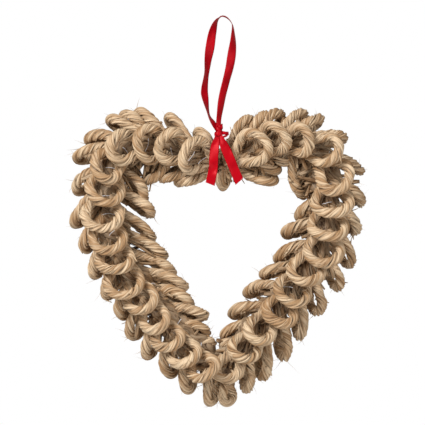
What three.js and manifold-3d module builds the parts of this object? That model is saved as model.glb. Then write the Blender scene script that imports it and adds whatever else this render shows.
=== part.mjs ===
import * as THREE from "three";
import { mergeVertices } from "three/addons/utils/BufferGeometryUtils.js";
import Module from "manifold-3d";

// A heart-shaped wreath of straw rope loops, hung by a satin ribbon. Sizes are in millimetres and angles in
// degrees. The origin is the inside top of the ribbon loop, Z is up and the front faces -Y.

// Heart outline: its middle line, from the cleft down to the tip, the same for both halves
const HEART_X = -5;
const CLEFT_Z = -153;
const START_RISE = 28;
const SHOULDER = { length: 72, turn: 20 };
const LOBE = { length: 57, turn: 90 };
const SIDE = { length: 51, turn: 21 };
const HIP = { length: 52, turn: 23 };
const FLANK = { length: 129, turn: 10 };
const MIDDLE_LINE = [SHOULDER, LOBE, SIDE, HIP, FLANK];

// Straw rope and the bound foot of a bunch
const ROPE_RADIUS = 5.25;
const ROPE_SIDES = 5;
const FRONT_ARC_STEPS = 6;
const SIDE_ARC_STEPS = 4;
const ROPE_TIED_SHARE = 0.6;
const WIDEST_SPREAD = 0.9;
const FOOT_RADIUS = 6.8;
const FOOT_SIDES = 6;
const FOOT_GAP = 0.3;
const FOOT_LEAD = 4.5;
const FINEST_EDGE = 0.3;

// Where the bunches sit on the middle line
const LEFT_START = 2;
const LEFT_PITCH = 23;
const LEFT_CROWDING = 0;
const LEFT_FIRST = 5.5;
const RIGHT_START = 15;
const RIGHT_PITCH = 24;
const RIGHT_CROWDING = 7;
const TIP_FOOT_START = 350;

// Front loops: how far ahead of the foot the ring's middle is seen, and how steeply it stands off
const FRONT_REACH = 26;
const FRONT_TILT_LEFT = 40;
const FRONT_TILT_RIGHT = 38;

// Side loops: their width, how far they lean back, how far they roll from edge-on, and how much steeper they
// set out than they end
const SIDE_LOOP_RADIUS = 11.5;
const SHORT_LOOP_SHARE = 0.25;
const SIDE_LEAN_BACK = 16;
const SIDE_ROLL = 20;
const SIDE_ROLL_CHANGE = 6;
const INNER_ROLL_SHARE = 0.5;
const SIDE_BEND = 14;

// The bunches of each half, from the cleft to the tip. Width and lean are the front loop's width and its
// shift outward, and tilt and reach replace the usual ones. Each outer and inner loop has its turn away from the
// middle line and its full length.
const LEFT_BUNCHES = [
  { width: 42, lean: 2.3, reach: 20, tilt: 44, outer: [[40, 43]], inner: [[52, 44]] },
  { width: 39, lean: 3, outer: [[35, 55]], inner: [[53, 45]] },
  { width: 42, lean: 1.5, reach: 24, outer: [[31, 60]], inner: [[61, 48]] },
  { width: 39, lean: 5, outer: [[22, 56], [40, 47]], inner: [] },
  { width: 40, lean: 4, outer: [[16, 61], [42, 48]], inner: [] },
  { width: 42, lean: 2, tilt: 39.3, outer: [[27, 52]], inner: [[70, 51]] },
  { width: 46, lean: 6, outer: [[37, 56]], inner: [[59, 57]] },
  { width: 43, lean: 6, outer: [[37, 54]], inner: [[50, 60]] },
  { width: 41, lean: 7, outer: [[37, 54]], inner: [[48, 63]] },
  { width: 44, lean: 12, outer: [[42, 53]], inner: [[43, 61]] },
  { width: 39, lean: 9, outer: [[47, 51]], inner: [[37, 61]] },
  { width: 37, lean: 10, outer: [[50, 54]], inner: [[37, 53]] },
  { width: 36, lean: 13, outer: [[50, 55]], inner: [[38, 50]] },
  { width: 37, lean: 11, tilt: 42, outer: [[46, 56]], inner: [[39, 39]] },
  { width: 35, lean: 8, tilt: 46, outer: [[43, 53]], inner: [[46, 27]] },
];
const RIGHT_BUNCHES = [
  { width: 43, lean: 5, outer: [[41, 54]], inner: [[44, 55], [129, 33]] },
  { width: 38, lean: 8.5, outer: [[50, 47], [34, 57]], inner: [[46, 36]] },
  { width: 36, lean: 7, outer: [[35, 53]], inner: [[56, 27]] },
  { width: 39, lean: 11, outer: [[16, 56], [57, 43]], inner: [[70, 56]] },
  { width: 41, lean: 10, outer: [[26, 56]], inner: [] },
  { width: 44, lean: 5, outer: [[44, 53]], inner: [] },
  { width: 43, lean: 4, outer: [[43, 52]], inner: [[55, 38]] },
  { width: 42, lean: 8, outer: [[43, 56]], inner: [[61, 44]] },
  { width: 41, lean: 2, outer: [[47, 53]], inner: [[50, 48]] },
  { width: 42, lean: 3, outer: [[46, 54]], inner: [[46, 50]] },
  { width: 38, lean: 6, outer: [[48, 55]], inner: [[46, 50]] },
  { width: 38, lean: 2, outer: [[48, 57]], inner: [[41, 50]] },
  { width: 36, lean: 4, outer: [[46, 56]], inner: [[37, 42]] },
  { width: 34, lean: 6, tilt: 28, outer: [[48, 51]], inner: [[44, 23]] },
];

// Two short loops that hang from the tip: sideways place, swing from straight down and length
const TIP_LOOPS = [
  { x: -6, swing: 0, length: 40 },
  { x: 8, swing: -6, length: 39 },
];
const TIP_LOOP_RADIUS = 9;
const TIP_LOOP_ROLL = 35;

// Ribbon
const RIBBON_THICKNESS = 0.6;
const KNOT = { x: -3, y: -17, z: -118.5, width: 10, depth: 8, height: 11 };
const KNOT_DETAIL = 1;

// The hanging loop up from the knot and down again: across, forward, up, width, and how far its width turns
// from the front
const HANGING_LOOP = [
  [-5, -17, -116.5, 3.5, 90],
  [-13.5, -15, -101, 8, 86],
  [-17.5, -12, -80, 9.5, 66],
  [-16, -9, -53, 9.5, 60],
  [-13, -6, -31, 9.5, 44],
  [-9.5, -2, -13, 9.5, 60],
  [-5, 0, -3, 9.5, 84],
  [0, 0, 0.3, 9.5, 90],
  [6, 0, -3, 9.5, 90],
  [9.5, -2, -14, 9.5, 82],
  [9.5, -6, -34, 9.5, 55],
  [6.5, -9, -55, 9.5, 42],
  [2, -12, -76, 9.5, 50],
  [-0.5, -15, -98, 8, 62],
  [-1, -17, -116.5, 3.5, 90],
];
const HANGING_LOOP_STEPS = 20;

// The two tails: across, forward, up and width
const LEFT_TAIL = [
  [-4.6, -18, -120, 2.8],
  [-7.5, -22, -134, 7.5],
  [-9, -23, -148, 9],
  [-12.5, -22, -171, 9.5],
];
const RIGHT_TAIL = [
  [-1.4, -18, -120, 2.8],
  [4, -22, -134, 7.5],
  [9.5, -23.5, -147, 9],
  [16, -24, -165, 9.5],
];
const TAIL_STEPS = 4;

// The turn of ribbon that ties the straw at the cleft
const TIE_X = -7;
const TIE_WIDTH = 4.5;
const TIE_RADIUS = 10.2;
const TIE_CENTRE_Z = -150.7;
const TIE_STEPS = 8;
const TIE_END = { y: -15.5, spread: 1 };

const rad = THREE.MathUtils.degToRad;
const vec = (x, y, z) => new THREE.Vector3(x, y, z);
const STRAW = new THREE.MeshStandardMaterial({ color: 0xb79a72, roughness: 0.8, metalness: 0 });
const SATIN = new THREE.MeshStandardMaterial({ color: 0xb01020, roughness: 0.4, metalness: 0 });

const wasm = await Module();
wasm.setup();

// The middle line at a distance from the cleft: place outward and up, and heading below level, for either half
function middleLine(distance) {
  let heading = -rad(START_RISE);
  let x = 0;
  let z = 0;
  let left = distance;
  for (const { length, turn } of MIDDLE_LINE) {
    const bend = rad(turn) / length;
    const run = Math.min(left, length);
    x += (Math.sin(heading + bend * run) - Math.sin(heading)) / bend;
    z += (Math.cos(heading + bend * run) - Math.cos(heading)) / bend;
    heading += bend * run;
    left -= run;
    if (left <= 0) break;
  }
  return { x, z, heading };
}

// The same with the half's side: where it is, the way on along the line, and the way out from the heart
function frameAt(side, distance) {
  const { x, z, heading } = middleLine(distance);
  return {
    place: vec(HEART_X + side * x, 0, CLEFT_Z + z),
    along: vec(side * Math.cos(heading), 0, -Math.sin(heading)),
    outward: vec(side * Math.sin(heading), 0, Math.cos(heading)),
  };
}

// A closed solid through a row of equal rings of points, open at both ends or joined end to end. Opposite sides
// are split along the same way, so that the two faces of a thin twisted strip stay apart.
function solidThrough(rings, joined) {
  const count = rings[0].length;
  const position = rings.flat().flatMap((p) => p.toArray());
  const index = [];
  const last = joined ? rings.length : rings.length - 1;
  for (let i = 0; i < last; i++) {
    for (let j = 0; j < count; j++) {
      const a = i * count + j;
      const b = i * count + ((j + 1) % count);
      const c = ((i + 1) % rings.length) * count + j;
      const d = ((i + 1) % rings.length) * count + ((j + 1) % count);
      index.push(...(j < count / 2 ? [a, b, d, a, d, c] : [a, b, c, b, d, c]));
    }
  }
  for (let j = 1; !joined && j < count - 1; j++) {
    const end = (rings.length - 1) * count;
    index.push(0, j + 1, j, end, end + j, end + j + 1);
  }
  return manifoldFrom(position, index);
}

// Positions and triangles as a solid, turned outward if they wind the other way
function manifoldFrom(position, index) {
  const flipped = index.map((v, i) => (i % 3 === 1 ? index[i + 1] : i % 3 === 2 ? index[i - 1] : v));
  const make = (triVerts) =>
    new wasm.Manifold(
      new wasm.Mesh({
        numProp: 3,
        vertProperties: new Float32Array(position),
        triVerts: new Uint32Array(triVerts),
      }),
    );
  const solid = make(index);
  return solid.volume() > 0 ? solid : make(flipped);
}

// A loop of rope: a ring on two strands that meet in the foot, in the plane of its direction and its sideways
// line. The bend turns it about the foot from front to back, less and less towards its far end.
function ropeLoop(foot, direction, sideways, reach, radius, steps, bend = 0) {
  const upright = direction.clone().cross(sideways).normalize();
  const spread = Math.asin(Math.min(WIDEST_SPREAD, radius / reach));
  const points = [foot.clone()];
  for (let i = 0; i <= steps; i++) {
    const angle = (Math.PI / 2 + spread) * ((2 * i) / steps - 1);
    const offset = direction
      .clone()
      .multiplyScalar(reach + radius * Math.cos(angle))
      .addScaledVector(sideways, radius * Math.sin(angle));
    const remaining = 1 - offset.length() / (reach + radius);
    points.push(offset.applyAxisAngle(vec(0, 1, 0), rad(bend) * remaining).add(foot));
  }
  const rings = points.map((point, i) => {
    const before = points[(i + points.length - 1) % points.length];
    const after = points[(i + 1) % points.length];
    const on = after.clone().sub(before).normalize();
    const across = on.cross(upright).normalize();
    const radiusHere = ROPE_RADIUS * (i === 0 ? ROPE_TIED_SHARE : 1);
    return roundRing(point, across, upright, radiusHere, ROPE_SIDES);
  });
  return solidThrough(rings, true);
}

// A regular ring of points whose area is that of the round one
function roundRing(middle, across, upright, radius, sides) {
  const corner = radius * Math.sqrt((2 * Math.PI) / (sides * Math.sin((2 * Math.PI) / sides)));
  return Array.from({ length: sides }, (_, i) => {
    const angle = (2 * Math.PI * i) / sides;
    return middle
      .clone()
      .addScaledVector(across, corner * Math.cos(angle))
      .addScaledVector(upright, corner * Math.sin(angle));
  });
}

// The bound foot: a round bar along the middle line through frames
function footThrough(frames) {
  const rings = frames.map(({ place, outward }) => {
    return roundRing(place, outward, vec(0, 1, 0), FOOT_RADIUS, FOOT_SIDES);
  });
  return solidThrough(rings, false);
}

// The front loop: it stands off the front and points on along the heart
function frontLoop(side, distance, tilt, row) {
  const start = frameAt(side, distance);
  const ahead = frameAt(side, distance + (row.reach ?? FRONT_REACH));
  const aim = ahead.place.clone().addScaledVector(ahead.outward, row.lean).sub(start.place);
  const flat = aim.length();
  const direction = aim.normalize().multiplyScalar(Math.cos(rad(tilt)));
  direction.y = -Math.sin(rad(tilt));
  const sideways = vec(0, 1, 0).cross(aim).normalize();
  const radius = row.width / 2 - ROPE_RADIUS;
  return ropeLoop(start.place, direction, sideways, flat / Math.cos(rad(tilt)), radius, FRONT_ARC_STEPS);
}

// A side loop, outer or inner: seen from its edge, leaning back
function sideLoop(side, distance, turn, length, roll) {
  const { place, along, outward } = frameAt(side, distance);
  const seen = along
    .clone()
    .multiplyScalar(Math.cos(rad(turn)))
    .addScaledVector(outward, Math.sin(rad(turn)));
  const beside = vec(0, 1, 0).cross(seen).normalize();
  const direction = seen.clone().multiplyScalar(Math.cos(rad(SIDE_LEAN_BACK)));
  direction.y = Math.sin(rad(SIDE_LEAN_BACK));
  const sideways = direction
    .clone()
    .cross(beside)
    .multiplyScalar(Math.cos(rad(roll)))
    .addScaledVector(beside, Math.sin(rad(roll)));
  const radius = Math.min(SIDE_LOOP_RADIUS, SHORT_LOOP_SHARE * length);
  const reach = length - radius - ROPE_RADIUS;
  const bend = -side * Math.sign(turn) * SIDE_BEND;
  return ropeLoop(place, direction, sideways, reach, radius, SIDE_ARC_STEPS, bend);
}

// One bunch: its foot and its loops as one solid
function bunch(side, distance, foot, tilt, row, index) {
  let solid = footThrough(foot).add(frontLoop(side, distance, row.tilt ?? tilt, row));
  const roll = SIDE_ROLL + SIDE_ROLL_CHANGE * Math.sin(index * side);
  for (const [turn, length] of row.outer) {
    solid = solid.add(sideLoop(side, distance, turn, length, side * roll));
  }
  for (const [turn, length] of row.inner) {
    solid = solid.add(sideLoop(side, distance, -turn, length, -side * roll * INNER_ROLL_SHARE));
  }
  return solid;
}

// Distances of a half's bunches from the cleft
function bunchPlaces(rows, start, pitch, crowding) {
  return rows.map((_, i) => start + pitch * i - crowding * Math.sin((Math.PI * i) / (rows.length - 1)));
}

const group = new THREE.Group();
group.name = "straw_heart_ornament";

function addSolid(name, solid, material) {
  const mesh = solid.simplify(FINEST_EDGE).getMesh();
  const geometry = new THREE.BufferGeometry();
  geometry.setAttribute("position", new THREE.BufferAttribute(new Float32Array(mesh.vertProperties), 3));
  geometry.setIndex(new THREE.BufferAttribute(new Uint32Array(mesh.triVerts), 1));
  const part = new THREE.Mesh(mergeVertices(geometry), material);
  part.name = name;
  group.add(part);
}

// Straw bunches of both halves
function addHalf(label, side, rows, places, tilt) {
  rows.forEach((row, i) => {
    const from = places[i] - FOOT_LEAD;
    const to = (i + 1 < rows.length ? places[i + 1] - FOOT_LEAD : TIP_FOOT_START) - FOOT_GAP;
    const frames = [frameAt(side, from), frameAt(side, (from + to) / 2), frameAt(side, to)];
    if (i === 0) {
      frames[0].place = vec(HEART_X + (side * FOOT_GAP) / 2, 0, CLEFT_Z);
      frames[0].outward = vec(0, 0, 1);
    }
    const name = `straw_bunch_${label}_${String(i + 1).padStart(2, "0")}`;
    addSolid(name, bunch(side, places[i], frames, tilt, row, i), STRAW);
  });
}

const leftPlaces = bunchPlaces(LEFT_BUNCHES, LEFT_START, LEFT_PITCH, LEFT_CROWDING);
leftPlaces[0] = LEFT_FIRST;
const rightPlaces = bunchPlaces(RIGHT_BUNCHES, RIGHT_START, RIGHT_PITCH, RIGHT_CROWDING);
addHalf("left", -1, LEFT_BUNCHES, leftPlaces, FRONT_TILT_LEFT);
addHalf("right", 1, RIGHT_BUNCHES, rightPlaces, FRONT_TILT_RIGHT);

// The tip: a bent foot that joins the halves, with its two short loops
function tipBunch() {
  const total = MIDDLE_LINE.reduce((sum, { length }) => sum + length, 0);
  const middle = frameAt(1, total);
  middle.place.x = HEART_X;
  middle.outward = vec(0, 0, -1);
  let solid = footThrough([frameAt(-1, TIP_FOOT_START), middle, frameAt(1, TIP_FOOT_START)]);
  for (const { x, swing, length } of TIP_LOOPS) {
    const foot = middle.place.clone().add(vec(x, 0, 0));
    const back = Math.tan(rad(SIDE_LEAN_BACK));
    const direction = vec(-Math.sin(rad(swing)), back, -Math.cos(rad(swing))).normalize();
    const sideways = vec(1, 0, 0)
      .cross(direction)
      .normalize()
      .multiplyScalar(Math.cos(rad(TIP_LOOP_ROLL)))
      .addScaledVector(vec(1, 0, 0), Math.sin(rad(TIP_LOOP_ROLL)));
    const reach = length - TIP_LOOP_RADIUS - ROPE_RADIUS;
    solid = solid.add(ropeLoop(foot, direction, sideways, reach, TIP_LOOP_RADIUS, SIDE_ARC_STEPS));
  }
  return solid;
}
addSolid("straw_bunch_tip", tipBunch(), STRAW);

// A flat strip through sections of a middle, the way its width runs, and the width
function strip(sections) {
  const rings = sections.map(({ middle, widthWay, width }, i) => {
    const before = sections[Math.max(0, i - 1)].middle;
    const after = sections[Math.min(sections.length - 1, i + 1)].middle;
    const on = after.clone().sub(before).normalize();
    const flat = widthWay.clone().addScaledVector(on, -on.dot(widthWay)).normalize();
    const thin = on.clone().cross(flat).normalize();
    const corners = [[1, 1], [-1, 1], [-1, -1], [1, -1]];
    return corners.map(([a, b]) =>
      middle
        .clone()
        .addScaledVector(flat, (a * width) / 2)
        .addScaledVector(thin, (b * RIBBON_THICKNESS) / 2),
    );
  });
  return solidThrough(rings, false);
}

// Smooth values through rows of numbers, one row for each step
function smoothRows(rows, steps) {
  const columns = rows[0].length;
  return Array.from({ length: steps + 1 }, (_, k) => {
    const place = ((rows.length - 1) * k) / steps;
    const i = Math.min(rows.length - 2, Math.floor(place));
    const t = place - i;
    const row = (n) => rows[Math.max(0, Math.min(rows.length - 1, n))];
    return Array.from({ length: columns }, (_, c) => {
      const [a, b, d, e] = [row(i - 1)[c], row(i)[c], row(i + 1)[c], row(i + 2)[c]];
      const bend = 2 * a - 5 * b + 4 * d - e;
      const curl = -a + 3 * b - 3 * d + e;
      return 0.5 * (2 * b + (d - a) * t + bend * t * t + curl * t * t * t);
    });
  });
}

// The ribbon: hanging loop, knot, the turn round the straw and two tails, all one strip
function ribbonSolid() {
  const loop = smoothRows(HANGING_LOOP, HANGING_LOOP_STEPS).map(([x, y, z, width, turn]) => ({
    middle: vec(x, y, z),
    widthWay: vec(Math.cos(rad(turn)), Math.sin(rad(turn)), 0),
    width,
  }));
  const tails = [LEFT_TAIL, RIGHT_TAIL].map((rows) =>
    smoothRows(rows, TAIL_STEPS).map(([x, y, z, width]) => ({
      middle: vec(x, y, z),
      widthWay: vec(1, 0, 0),
      width,
    })),
  );
  const knot = new THREE.IcosahedronGeometry(0.5, KNOT_DETAIL);
  knot.scale(KNOT.width, KNOT.height, KNOT.depth).rotateX(Math.PI / 2).translate(KNOT.x, KNOT.y, KNOT.z);
  knot.deleteAttribute("normal");
  knot.deleteAttribute("uv");
  const lump = mergeVertices(knot);
  let solid = manifoldFrom(Array.from(lump.attributes.position.array), Array.from(lump.index.array));
  for (const sections of [loop, ...tails, tieSections()]) {
    solid = solid.add(strip(sections));
  }
  return solid;
}

// The turn round the straw: over the round bundle and up to the knot on both sides
function tieSections() {
  const across = TIE_END.y;
  const up = KNOT.z - TIE_CENTRE_Z;
  const towards = Math.atan2(up, across);
  const open = Math.acos(TIE_RADIUS / Math.hypot(across, up));
  const sections = [];
  for (let i = 0; i <= TIE_STEPS; i++) {
    const angle = towards + open + ((2 * Math.PI - 2 * open) * i) / TIE_STEPS;
    const middle = vec(TIE_X, TIE_RADIUS * Math.cos(angle), TIE_CENTRE_Z + TIE_RADIUS * Math.sin(angle));
    sections.push({ middle, widthWay: vec(1, 0, 0), width: TIE_WIDTH });
  }
  const end = (side) => ({
    middle: vec(KNOT.x, TIE_END.y + side * TIE_END.spread, KNOT.z),
    widthWay: vec(1, 0, 0),
    width: TIE_WIDTH,
  });
  return [end(-1), ...sections, end(1)];
}
addSolid("ribbon", ribbonSolid(), SATIN);

export default group;
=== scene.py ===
"""A heart-shaped wreath of twisted straw rope loops, tied in bunches and hung by a red satin ribbon."""

import math
from typing import NamedTuple

import bpy
import numpy as np
from bpy.props import FloatProperty, FloatVectorProperty, IntProperty, PointerProperty
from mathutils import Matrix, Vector


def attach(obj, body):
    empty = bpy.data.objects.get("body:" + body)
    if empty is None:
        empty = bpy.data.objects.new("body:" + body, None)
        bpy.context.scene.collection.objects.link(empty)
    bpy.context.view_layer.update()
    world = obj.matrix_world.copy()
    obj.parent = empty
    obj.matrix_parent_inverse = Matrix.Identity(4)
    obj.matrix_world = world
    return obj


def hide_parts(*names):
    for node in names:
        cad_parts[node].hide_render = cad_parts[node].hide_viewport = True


bl_info = {
    "name": "Straw Heart Wreath",
    "version": (1, 0, 0),
    "blender": (4, 5, 0),
    "location": "View3D > Sidebar > Straw Heart",
    "description": "Twisted straw loops, binding thread and satin ribbon on the packed heart",
    "category": "Object",
}

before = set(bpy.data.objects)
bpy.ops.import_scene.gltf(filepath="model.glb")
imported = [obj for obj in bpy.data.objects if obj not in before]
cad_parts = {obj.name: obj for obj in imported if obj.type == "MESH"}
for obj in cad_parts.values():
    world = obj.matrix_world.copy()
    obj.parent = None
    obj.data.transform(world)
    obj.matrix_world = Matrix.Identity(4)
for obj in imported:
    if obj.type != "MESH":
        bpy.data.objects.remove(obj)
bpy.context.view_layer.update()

# Sizes are in millimetres and angles in degrees, as the solids have them, where nothing else is said. MM
# turns millimetres into metres.
MM = 0.001
TURN = 2 * math.pi
RIGHTWARD = np.array([1.0, 0.0, 0.0])
BACKWARD = np.array([0.0, 1.0, 0.0])
SIDES = {"left": -1, "right": 1}

# The heart's middle line from the cleft to the tip, the same for both halves, as arcs of (length, turn)
HEART_X = -5.0
CLEFT_Z = -153.0
START_RISE = 28.0
MIDDLE_LINE = ((72, 20), (57, 90), (51, 21), (52, 23), (129, 10))

# Where the bunches sit on the middle line
LEFT_START = 2.0
LEFT_PITCH = 23.0
LEFT_FIRST = 5.5
RIGHT_START = 15.0
RIGHT_PITCH = 24.0
RIGHT_CROWDING = 7.0
FOOT_LEAD = 4.5
TIP_FOOT_START = 350.0

# Loops of rope. ROPE_SPACE is kept between a loop's outline and the middle of its rope
ROPE_SPACE = 5.25
WIDEST_SPREAD = 0.9
FRONT_REACH = 26.0
FRONT_TILT = {"left": 40.0, "right": 38.0}
SIDE_LOOP_RADIUS = 11.5
SHORT_LOOP_SHARE = 0.25
SIDE_LEAN_BACK = 16.0
SIDE_ROLL = 20.0
SIDE_ROLL_CHANGE = 6.0
INNER_ROLL_SHARE = 0.5
OUTER_BEND = 20.0
INNER_BEND = 26.0
TIP_LOOP_RADIUS = 6.6
TIP_LOOP_ROLL = 35.0
TIP_LOOPS = ((-6.0, 0.0, 40.0), (8.0, -6.0, 39.0))


class Bunch(NamedTuple):
    """The front loop's width and lean, the side loops as (turn, length), the front loop's reach and tilt."""

    width: float
    lean: float
    outer: tuple
    inner: tuple
    reach: float = FRONT_REACH
    tilt: float = 0.0


BUNCHES = {
    "left": (
        Bunch(42, 2.3, ((40, 43),), ((52, 44),), 20, 44),
        Bunch(39, 3, ((35, 55),), ((53, 45),)),
        Bunch(42, 1.5, ((31, 60),), ((61, 48),), 24),
        Bunch(39, 5, ((22, 56), (40, 47)), ()),
        Bunch(40, 4, ((16, 61), (42, 48)), ()),
        Bunch(42, 2, ((27, 52),), ((70, 51),), tilt=39.3),
        Bunch(46, 6, ((37, 56),), ((59, 57),)),
        Bunch(43, 6, ((37, 54),), ((50, 60),)),
        Bunch(41, 7, ((37, 54),), ((48, 63),)),
        Bunch(44, 12, ((42, 53),), ((43, 61),)),
        Bunch(39, 9, ((47, 51),), ((37, 61),)),
        Bunch(37, 10, ((50, 54),), ((37, 53),)),
        Bunch(36, 13, ((50, 55),), ((38, 50),)),
        Bunch(37, 11, ((46, 56),), ((39, 39),), tilt=42),
        Bunch(35, 8, ((43, 53),), ((46, 27),), tilt=46),
    ),
    "right": (
        Bunch(43, 5, ((41, 54),), ((44, 55), (129, 33))),
        Bunch(38, 8.5, ((50, 47), (34, 57)), ((46, 36),)),
        Bunch(36, 7, ((35, 53),), ((56, 27),)),
        Bunch(39, 11, ((16, 56), (57, 43)), ((70, 56),)),
        Bunch(41, 10, ((26, 56),), ()),
        Bunch(44, 5, ((44, 53),), ()),
        Bunch(43, 4, ((43, 52),), ((55, 38),)),
        Bunch(42, 8, ((43, 56),), ((61, 44),)),
        Bunch(41, 2, ((47, 53),), ((50, 48),)),
        Bunch(42, 3, ((46, 54),), ((46, 50),)),
        Bunch(38, 6, ((48, 55),), ((46, 50),)),
        Bunch(38, 2, ((48, 57),), ((41, 50),)),
        Bunch(36, 4, ((46, 56),), ((37, 42),)),
        Bunch(34, 6, ((48, 51),), ((44, 23),), tilt=28),
    ),
}

# Ribbon: rows of across, forward, up, width and how far the width turns from the front
RIBBON_THICKNESS = 0.35
HANGING_LOOP = (
    (-4.2, -17, -117, 4.0, 40),
    (-8.8, -16.5, -108, 7.5, 52),
    (-13.5, -15, -99, 9.0, 74),
    (-17.0, -12.5, -83, 9.5, 48),
    (-17.5, -11.5, -74, 9.5, 46),
    (-15.6, -10, -58, 9.5, 60),
    (-14.2, -8, -45, 9.5, 46),
    (-12.0, -6, -31, 9.5, 18),
    (-9.5, -3, -16, 9.5, 40),
    (-5, 0, -4.2, 9.5, 72),
    (0, 0, 0.1, 9.5, 88),
    (6, 0, -2.2, 9.5, 90),
    (10.6, -1.5, -9.5, 9.5, 88),
    (11.3, -4, -23, 9.5, 56),
    (9.8, -6, -38, 9.5, 30),
    (7.6, -8, -52, 9.5, 34),
    (4.2, -10, -65, 9.5, 40),
    (1.2, -12, -77, 9.5, 46),
    (-1.4, -14, -91, 9.0, 44),
    (-3.4, -16, -105, 6.5, 44),
    (-3.4, -17, -117, 5.0, 20),
)
LEFT_TAIL = (
    (-4.6, -19.5, -118.5, 3.0, 0),
    (-5.4, -21.2, -124, 5.5, 14),
    (-7.4, -22.6, -133, 8.9, -12),
    (-8.4, -23.4, -143, 9.3, -16),
    (-8.7, -23.2, -152, 9.2, 10),
    (-10.0, -23.8, -160, 9.4, -8),
    (-12.0, -22.4, -169.6, 9.6, 6),
)
RIGHT_TAIL = (
    (-2.6, -19.8, -118.5, 3.5, 0),
    (-0.6, -21.4, -125, 6.5, -10),
    (3.0, -22.8, -133, 9.3, 8),
    (7.6, -23.8, -143.5, 9.6, -8),
    (12.0, -24.2, -154.5, 9.6, 10),
    (17.4, -23.0, -167.0, 9.6, -6),
)
KNOT = (-3.6, -17.8, -119.0)
TIE_X = -7.0
TIE_RADIUS = 10.4
TIE_CENTRE_Z = -150.7


# What settings of one kind have in common
COLOUR = {"subtype": "COLOR", "min": 0.0, "max": 1.0}
LENGTH = {"subtype": "DISTANCE", "unit": "LENGTH"}


class StrawSettings(bpy.types.PropertyGroup):
    """Sizes and colours of the straw rope."""

    rope_radius: FloatProperty(
        name="Rope radius", description="Mean rope radius", default=4.7 * MM, min=0.003, max=0.007, **LENGTH
    )
    lay: FloatProperty(
        name="Lay", description="Length of rope in which a strip goes once round", default=34 * MM, **LENGTH
    )
    strips: IntProperty(
        name="Strips", description="Husk strips side by side round the rope", default=9, min=4, max=12
    )
    fibres: IntProperty(
        name="Stray fibres", description="Loose fibres standing off each bunch", default=30, min=0, max=60
    )
    light_colour: FloatVectorProperty(
        name="Light straw", description="Colour of the palest strips", default=(0.74, 0.56, 0.37), **COLOUR
    )
    middle_colour: FloatVectorProperty(
        name="Middle straw", description="Usual colour of the strips", default=(0.42, 0.25, 0.125), **COLOUR
    )
    # The dark straw colour is both the colour of stains and lines and the painted shade in creases and
    # hollows
    stain_and_shade_colour: FloatVectorProperty(
        name="Dark straw", description="Colour in creases and stains", default=(0.06, 0.027, 0.01), **COLOUR
    )


class RibbonSettings(bpy.types.PropertyGroup):
    """Colours of the satin ribbon."""

    colour: FloatVectorProperty(
        name="Satin", description="Colour of the lit satin", default=(0.42, 0.002, 0.008), **COLOUR
    )
    # The woven edge colour also gives the painted shade of the ribbon's creases and of the knot
    edge_and_shade_colour: FloatVectorProperty(
        name="Woven edge", description="Colour of the woven edges", default=(0.26, 0.0, 0.004), **COLOUR
    )


class StageSettings(bpy.types.PropertyGroup):
    """Light round the wreath."""

    key_power: FloatProperty(
        name="Key light", description="Power of the upper left light", default=49.0, min=0.0, unit="POWER"
    )
    surround: FloatProperty(
        name="Surround", description="Strength of the even light from all sides", default=0.25, min=0.0
    )


class Socket:
    """A shader value that can be used in plain arithmetic: each operator adds one Math node."""

    def __init__(self, shader, socket):
        self.shader = shader
        self.socket = socket

    def _math(self, operation, *values):
        return self.shader.node("ShaderNodeMath", {"operation": operation}, *values)

    def __add__(self, other):
        return self._math("ADD", self, other)

    __radd__ = __add__

    def __sub__(self, other):
        return self._math("SUBTRACT", self, other)

    def __rsub__(self, other):
        return self._math("SUBTRACT", other, self)

    def __mul__(self, other):
        return self._math("MULTIPLY", self, other)

    __rmul__ = __mul__

    def absolute(self):
        """The value without its sign."""
        return self._math("ABSOLUTE", self)

    def clamp(self):
        """The value kept between 0 and 1."""
        return self.shader.node("ShaderNodeClamp", {}, self, 0.0, 1.0)


class Shader:
    """A new node material: node adds any node, and the methods after it add those that are used often."""

    def __init__(self, name):
        self.material = bpy.data.materials.new(name)
        self.material.use_nodes = True
        self.tree = self.material.node_tree
        self.surface = self.tree.nodes["Principled BSDF"]

    def node(self, kind, settings, *values, output=0, **named):
        """Adds a node: settings first, then the values or links of its sockets in order or by name."""
        made = self.tree.nodes.new(kind)
        for key, value in settings.items():
            setattr(made, key, value)
        for key, value in [*enumerate(values), *named.items()]:
            self.put(made.inputs[key], value)
        return Socket(self, made.outputs[output])

    def put(self, target, value):
        """Links a shader value to a socket, or sets the socket to a plain one."""
        if isinstance(value, Socket):
            self.tree.links.new(value.socket, target)
        else:
            target.default_value = value

    def noise(self, place, scale, detail, roughness=0.5):
        """Noise at a place: scale in waves for each unit of it, detail in octaves."""
        values = {"Vector": place, "Scale": scale, "Detail": detail, "Roughness": roughness}
        return self.node("ShaderNodeTexNoise", {}, **values)

    def bump(self, strength, depth, height):
        """A normal bent by a height, whose unit is depth in mm."""
        return self.node("ShaderNodeBump", {}, Strength=strength, Distance=depth * MM, Height=height)

    def place(self):
        """The point of the surface, in the frame's metres."""
        return self.node("ShaderNodeTexCoord", {}, output="Object")

    def attribute(self, name, output="Fac"):
        """A value or vector that the mesh carries at its points."""
        return self.node("ShaderNodeAttribute", {"attribute_name": name}, output=output)

    def mix(self, factor, low, high):
        """The colour that goes from low to high as factor goes from 0 to 1."""
        made = self.tree.nodes.new("ShaderNodeMix")
        made.data_type = "RGBA"
        self.put(made.inputs[0], factor)
        self.put(made.inputs[6], low)
        self.put(made.inputs[7], high)
        return Socket(self, made.outputs[2])

    def set(self, **values):
        """Sets or links the surface shader's sockets; underscores stand for spaces."""
        for key, value in values.items():
            self.put(self.surface.inputs[key.replace("_", " ")], value)


def rgba(colour):
    """A colour setting with full alpha."""
    return (*colour, 1.0)


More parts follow.
